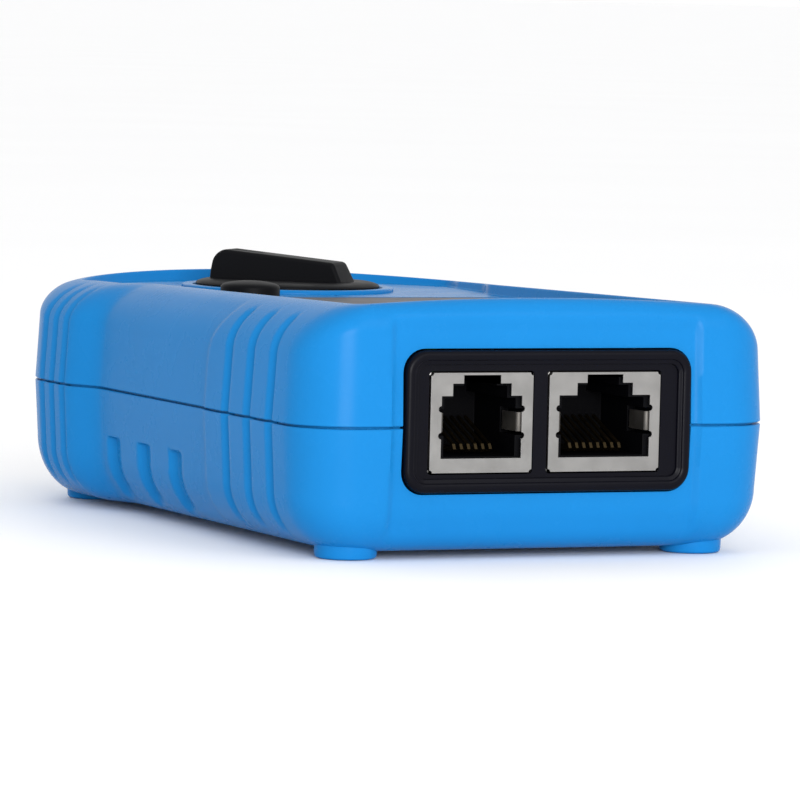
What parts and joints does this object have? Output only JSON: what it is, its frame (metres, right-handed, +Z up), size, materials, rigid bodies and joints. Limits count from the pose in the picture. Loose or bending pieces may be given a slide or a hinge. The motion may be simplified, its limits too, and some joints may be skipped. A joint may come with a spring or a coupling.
{
  "type": "network cable tester",
  "caption": "Hand-held network cable tester: two-half case on feet, shielded modular sockets in a front bezel, rotary selector, push button and row of lights.",
  "frame": {"origin": "middle of the bounding box's footprint, on the surface the feet stand on", "axes": "+Z up, +Y from the socket end towards the rounded rear end, +X to the right seen from the socket end"},
  "size_m": [0.0726, 0.114, 0.0358],
  "materials": {
    "case_plastic": "satin moulded blue",
    "knob_plastic": "fine matt texture",
    "bezel_plastic": "satin moulded",
    "socket_plastic": "matt",
    "shield_metal": "satin nickel plate",
    "contact_metal": "bright",
    "label_film": "glossy printed film",
    "led_green": "clear tinted",
    "led_amber": "clear tinted",
    "board_laminate": "solder mask",
    "rotor_plastic": "matt",
    "signal_red": "matt",
    "lead_black": "matt",
    "battery_wrap": "satin",
    "screw_steel": "plain"
  },
  "bodies": {
    "case": {"top_shell": "case_plastic", "bottom_shell": "case_plastic", "port_bezel": "bezel_plastic", "rj12_housing": "socket_plastic", "rj45_housing": "socket_plastic", "board_link_header": "socket_plastic", "controller_chip": "socket_plastic", "button_switch_body": "socket_plastic", "battery_snap": "socket_plastic", "rj12_shield": "shield_metal", "rj45_shield": "shield_metal", "capacitor": "shield_metal", "rj12_contact_1": "contact_metal", "rj12_contact_2": "contact_metal", "rj12_contact_3": "contact_metal", "rj12_contact_4": "contact_metal", "rj12_contact_5": "contact_metal", "rj12_contact_6": "contact_metal", "rj45_contact_1": "contact_metal", "rj45_contact_2": "contact_metal", "rj45_contact_3": "contact_metal", "rj45_contact_4": "contact_metal", "rj45_contact_5": "contact_metal", "rj45_contact_6": "contact_metal", "rj45_contact_7": "contact_metal", "rj45_contact_8": "contact_metal", "faceplate_label": "label_film", "led_1": "led_green", "led_2": "led_green", "led_3": "led_green", "led_4": "led_green", "led_5": "led_green", "led_6": "led_green", "led_7": "led_green", "led_8": "led_green", "led_ground": "led_amber", "jack_board": "board_laminate", "main_board": "board_laminate", "battery_lead_red": "signal_red", "battery_lead_black": "lead_black", "battery": "battery_wrap", "case_screw_1": "screw_steel", "case_screw_2": "screw_steel", "case_screw_3": "screw_steel", "case_screw_4": "screw_steel", "board_screw_1": "screw_steel", "board_screw_2": "screw_steel", "board_screw_3": "screw_steel", "board_screw_4": "screw_steel"},
    "selector": {"selector_knob": "knob_plastic", "selector_rotor": "rotor_plastic", "wiper_spring": "contact_metal"},
    "button": {"test_button": "knob_plastic", "button_switch_plunger": "signal_red"},
    "cover": {"battery_cover": "case_plastic"}
  },
  "joints": [
    {"name": "selector_turn", "type": "hinge", "parent": "case", "child": "selector", "pos_m": [0, 0.0293, 0.0303], "axis": [0, 0, 1], "range_deg": [-45, 135]},
    {"name": "button_press", "type": "slide", "parent": "case", "child": "button", "axis": [0, 0, -1], "range_m": [0, 0.0005], "stiffness_N_per_m": 2000},
    {"name": "battery_cover_off", "type": "slide", "parent": "case", "child": "cover", "axis": [0, 0, -1], "range_m": [0, 0.012]}
  ]
}
